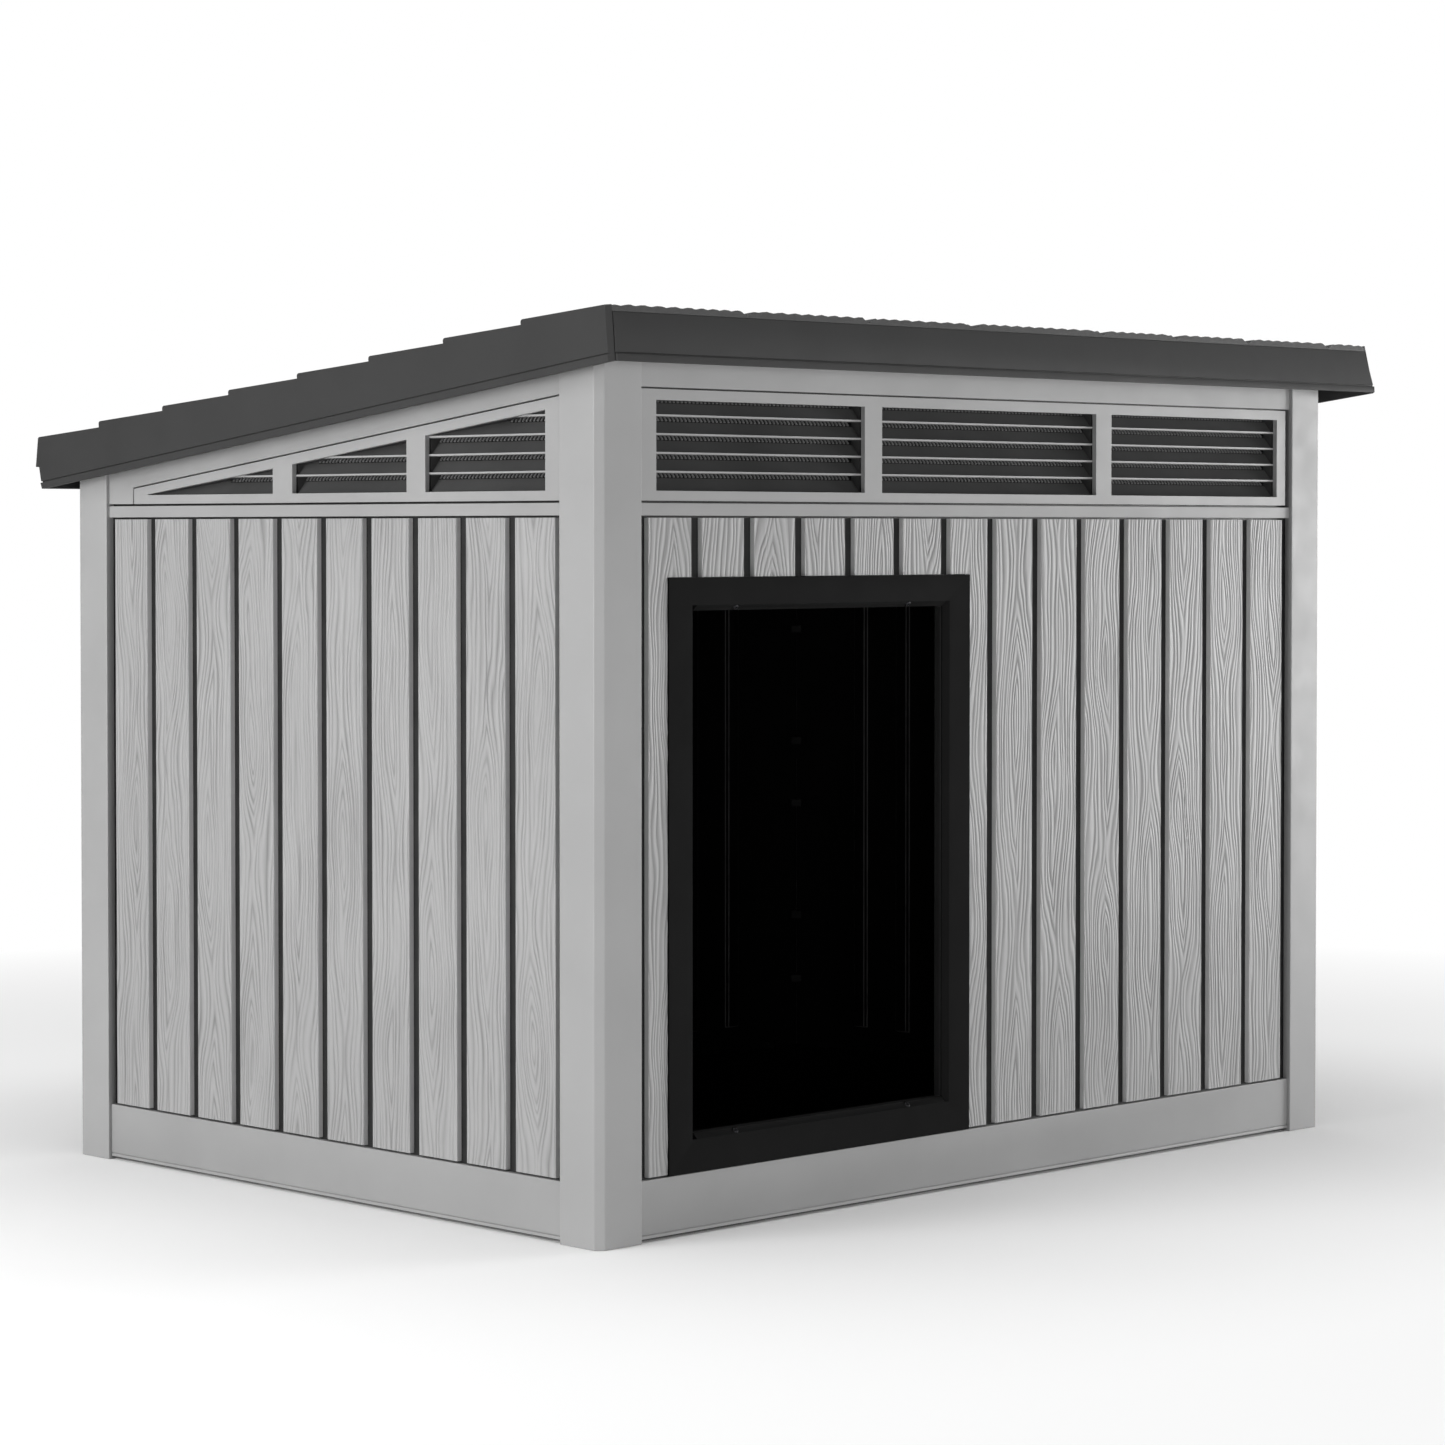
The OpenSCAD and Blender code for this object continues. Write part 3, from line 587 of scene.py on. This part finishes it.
def shake_course(k):
    node = f"shingle_course_{k}"
    p0, p1, a0, a1, _, b1 = roof_span(node)
    rng = np.random.default_rng(500 + k)
    columns = round((p1 - p0) / SHAKE_COLUMN_MM)
    bm = bmesh.new()
    shake_layer = bm.verts.layers.float.new("shake")
    made = bmesh.ops.create_grid(bm, x_segments=columns, y_segments=SHAKE_ROWS, size=0.5)["verts"]
    u = np.rint(np.array([v.co.x + 0.5 for v in made]) * columns) / columns
    w = np.array([v.co.y + 0.5 for v in made])
    rows = np.concatenate([np.linspace(0, 1, SHAKE_ROWS - 2)[:-1], [ROUND_FROM, 0.99, 0.997, 1.0]])
    t = rows[np.rint(w * SHAKE_ROWS).astype(int)]
    edges = np.array([p0] + FIRST_SHAKES + [p1] if k == 1 else shake_edges(rng, p0, p1))
    p = p0 + u * (p1 - p0)
    which = np.clip(np.searchsorted(edges, p, side="right") - 1, 0, len(edges) - 2)
    tones, lifts, setbacks = (rng.uniform(0, 1, len(edges)) for _ in range(3))
    gap = np.min(np.abs(p[:, None] - edges[None, 1:-1]), axis=1)
    at_eaves = (k == 1) * (t < 0.2)
    groove = (GAP_DEEP + EAVES_DEEPER * at_eaves) * np.clip(
        1.35 - gap / (GAP_HALF + EAVES_WIDER * at_eaves), 0, 1
    )
    a = a0 + t * (a1 - a0 - 5 * setbacks[which] * (k < 8) * (t > 0.5))
    split = 0.5 + 0.5 * np.cos(math.tau * p / RIDGE_MM + 1.3 * wander(rng, (p, 210), (a, 400)))
    fine = 0.5 + 0.5 * np.cos(math.tau * p / FINE_RIDGE_MM + 2 * wander(rng, (p, 60), (a, 260)))
    relief = 2.0 * (1 - split ** 0.7) + 0.45 * (1 - fine) + 0.9 * lifts[which]
    near_side = np.clip(1 - np.minimum(p - p0, p1 - p) / 30, 0, 1)
    butt_round = 2.4 * np.clip((t - ROUND_FROM) / 0.025, 0, 1) ** 2
    b = b1 - COURSE_RISE * (1 - t) + RIDGE_LIFT * (1 - near_side) - relief - groove - butt_round
    b = np.maximum(b, DECK_TOP + 1)
    for v, vp, va, vb, shake in zip(made, p, a, b, tones[which]):
        v.co = roof_plane @ Vector((vp * MM, va * MM, vb * MM))
        v[shake_layer] = shake
    rim_edges = [e for e in bm.edges if e.is_boundary]
    side = bmesh.ops.extrude_edge_only(bm, edges=rim_edges)["geom"]
    for v in {v for v in side if isinstance(v, bmesh.types.BMVert)}:
        flat = to_roof @ v.co
        flat.z = DECK_TOP * MM
        v.co = roof_plane @ flat
    bmesh.ops.holes_fill(bm, edges=[e for e in bm.edges if e.is_boundary], sides=0)
    return piece_from(bm, f"shake_course_{k}", shake_finish, [node], sharp=42)


for k in range(1, 9):
    shake_course(k)

# %% [markdown]
# Behind each light bar of a vent, a black blade leans back to keep the rain
# out, and its upper part is a comb of fine upright teeth that keeps insects
# out. The imported blades stay. The comb is added on them: a near-black strip,
# painted shade that stands for the open slots, and one small tooth every
# 7.8 mm, painted paler as a painted highlight.

# %% Vent combs
BAR_Z = [1086 + 26.5 * k for k in range(-1, 4)]
BLADE_FRONT, BLADE_RISE, BLADE_BACK = 17.4, 20.5, 17.0
TOOTH_PITCH, TOOTH_W = 7.8, 4.0
FRONT_W, MIDDLE_W, OUTER_W, MULLION = 1658, 495, 428, 37.5
margin = (FRONT_W - MIDDLE_W - 2 * OUTER_W - 2 * MULLION) / 2
SIDE_WINDOWS = [(117, 376), (418, 684), (731, 1046)]
WINDOWS = {
    "front": [
        (margin, margin + OUTER_W),
        ((FRONT_W - MIDDLE_W) / 2, (FRONT_W + MIDDLE_W) / 2),
        (FRONT_W - margin - OUTER_W, FRONT_W - margin),
    ],
    "left": SIDE_WINDOWS,
    "right": SIDE_WINDOWS,
}
SIDE_HEAD, SIDE_FALL, FRONT_HEAD = 1187, math.tan(math.radians(7)), 1186.5
SLOT_SHADE_T, TOOTH_T = (0.86, 1.2), (0.90, 1.18)
SLOT_SHADE_LIFT, TOOTH_LIFT = (0.0, 0.3), (0.2, 1.9)


def slope_box(bm, place, x0, x1, z_blade, t0, t1, lift0, lift1):
    """A thin box that lies on a blade, from t0 to t1 of its rise and lift0 to lift1 above it."""
    along = Vector((BLADE_BACK, BLADE_RISE)).normalized()
    out = Vector((-along.y, along.x))
    start = Vector((BLADE_FRONT, z_blade))
    reach = math.hypot(BLADE_BACK, BLADE_RISE)
    made = bmesh.ops.create_cube(bm, size=1)["verts"]
    for v in made:
        x = x0 if v.co.x < 0 else x1
        t = t0 if v.co.z < 0 else t1
        lift = lift1 if v.co.y < 0 else lift0
        spot = start + along * (t * reach) + out * lift
        v.co = place @ Vector((x * MM, spot.x * MM, spot.y * MM))


def vent_comb(wall):
    teeth, slot_shade_strips = bmesh.new(), bmesh.new()
    for x0, x1 in WINDOWS[wall]:
        for z in BAR_Z:
            top = z + BLADE_RISE
            end = x1 - 1
            if wall != "front":
                end = min(end, (SIDE_HEAD - top) / SIDE_FALL - 4)
            elif top > FRONT_HEAD:
                continue
            if end - x0 < 12:
                continue
            slope_box(slot_shade_strips, WALLS[wall], x0 + 1, end, z, *SLOT_SHADE_T, *SLOT_SHADE_LIFT)
            for x in np.arange(x0 + 3, end - TOOTH_W, TOOTH_PITCH):
                slope_box(teeth, WALLS[wall], x, x + TOOTH_W, z, *TOOTH_T, *TOOTH_LIFT)
    piece_from(slot_shade_strips, f"{wall}_vent_slot_shade", slot_shade_finish)
    piece_from(teeth, f"{wall}_vent_teeth", tooth_highlight_finish)


for wall in WINDOWS:
    vent_comb(wall)

# %% [markdown]
# The fixings are turned parts, so each is a profile spun about its axis. The
# door's four screws have a flat ring of a head round a deep drive recess and
# sit square to the surround's chamfer. The rafters' coach bolts have domes.

# %% Screws and bolts
def spun(bm, stand, profile, steps=32):
    """Spins a profile of (radius, height) pairs about the axis of a stand, in mm."""
    ring = [bm.verts.new(stand @ Vector((r * MM, 0, h * MM))) for r, h in profile]
    edges = [bm.edges.new(pair) for pair in zip(ring, ring[1:])]
    axis = stand.to_3x3() @ Vector((0, 0, 1))
    bmesh.ops.spin(
        bm, geom=ring + edges, cent=stand.translation, axis=axis, dvec=(0, 0, 0),
        angle=math.tau, steps=steps, use_merge=True,
    )
    bmesh.ops.remove_doubles(bm, verts=bm.verts, dist=0.004 * MM)


SCREW = [
    (0, 0.1), (1.7, 0.1), (2.2, 1.3), (3.0, 1.5), (4.0, 1.35), (4.6, 0.8), (4.8, 0),
    (4.8, -1.9), (1.9, -1.9), (1.9, -7), (0, -7),
]
BOLT = [(0, -5), (4, -4.7), (7, -3.6), (8.6, -1.9), (9, -0.5), (9, 0), (5, 0), (5, 29.5), (0, 29.5)]
screws = bmesh.new()
SCREW_X, SCREW_DEEP = (275, 640), 8
for x in SCREW_X:
    for z, lean in ((140, 45), (893, 135)):
        spot = WALLS["front"] @ Matrix.Translation(Vector((x, SCREW_DEEP, z)) * MM)
        spun(screws, spot @ Matrix.Rotation(math.radians(lean), 4, "X"), SCREW)
piece_from(screws, "door_screws_turned", screw_finish, ["door_screws"], sharp=35)
bolts = bmesh.new()
RAFTER_UNDERSIDE = 14
for share in (0.25, 0.5, 0.75):
    for down in (260, 1120):
        spot = Matrix.Translation((body_w * share, down * MM, RAFTER_UNDERSIDE * MM))
        spun(bolts, roof_plane @ spot, BOLT)
piece_from(bolts, "rafter_bolts_turned", screw_finish, ["rafter_bolts"], sharp=35)

# %% [markdown]
# The studio is a white sweep lit by large soft panels: a high and a low one on
# the left, a low one on the right, one in front, one overhead, and a small one
# beside the camera that reaches through the doorway. The wall behind is too
# far off to light the hutch, so the world is white only to the camera. The
# floor keeps a soft contact shadow and fades to even white away from it.

# %% Floor
floor_bm = bmesh.new()
bmesh.ops.create_grid(floor_bm, x_segments=1, y_segments=1, size=30)
floor_mesh = bpy.data.meshes.new("studio_floor")
floor_bm.to_mesh(floor_mesh)
floor_bm.free()
studio_floor = bpy.data.objects.new("studio_floor", floor_mesh)
bpy.context.scene.collection.objects.link(studio_floor)
sweep, tree, shader, place = new_finish("paper_white_sweep", specular=0.0)
shader.inputs["Base Color"].default_value = (0.9, 0.9, 0.9, 1)
shader.inputs["Roughness"].default_value = 1.0
far = add(tree, "ShaderNodeVectorMath", {0: place}, operation="LENGTH").outputs["Value"]
seen = add(tree, "ShaderNodeLightPath").outputs["Is Camera Ray"]
wash = add(
    tree, "ShaderNodeMath", {0: between(tree, far, 0, 1, 1.3, 3.4), 1: seen}, operation="MULTIPLY"
).outputs[0]
glow = add(tree, "ShaderNodeEmission", {"Color": linear("FFFFFF"), "Strength": 1.0}).outputs[0]
blend = add(tree, "ShaderNodeMixShader", {"Fac": wash, 1: shader.outputs[0], 2: glow})
tree.links.new(blend.outputs[0], tree.nodes["Material Output"].inputs["Surface"])
floor_mesh.materials.append(sweep)

# %% Light
world = bpy.data.worlds.new("studio")
bpy.context.scene.world = world
world.use_nodes = True
dome = world.node_tree.nodes["Background"]
dome.inputs["Color"].default_value = (1, 1, 1, 1)
seen = add(world.node_tree, "ShaderNodeLightPath").outputs["Is Camera Ray"]
world.node_tree.links.new(seen, dome.inputs["Strength"])


def panel_light(name, place, aim, size, power):
    data = bpy.data.lights.new(name, "AREA")
    data.shape = "RECTANGLE"
    data.size, data.size_y = size
    data.energy = power
    lamp = bpy.data.objects.new(name, data)
    bpy.context.scene.collection.objects.link(lamp)
    lamp.location = place
    lamp.rotation_euler = (Vector(aim) - Vector(place)).to_track_quat("-Z", "Y").to_euler()
    return lamp


panel_light("left_high_panel", (-5.0, 0.5, 2.6), (0, 0, 0.6), (3.0, 2.5), 110)
panel_light("left_low_panel", (-6.0, 0.3, 0.9), (0, 0, 0.6), (3.0, 1.5), 235)
panel_light("right_low_panel", (5.5, -2.6, 0.9), (0.6, 0, 0.6), (2.5, 1.5), 235)
panel_light("front_panel", (0.0, -7.0, 0.9), (0, 0, 0.6), (4.0, 1.6), 196)
panel_light("lens_panel", (-4.8, -4.85, 0.85), (0, 0, 0.6), (0.8, 0.8), 24)
panel_light("top_panel", (0, 0, 5.5), (0, 0, 0), (5.0, 5.0), 249)
bpy.context.scene.view_settings.view_transform = "Standard"
bpy.context.scene.view_settings.look = "None"
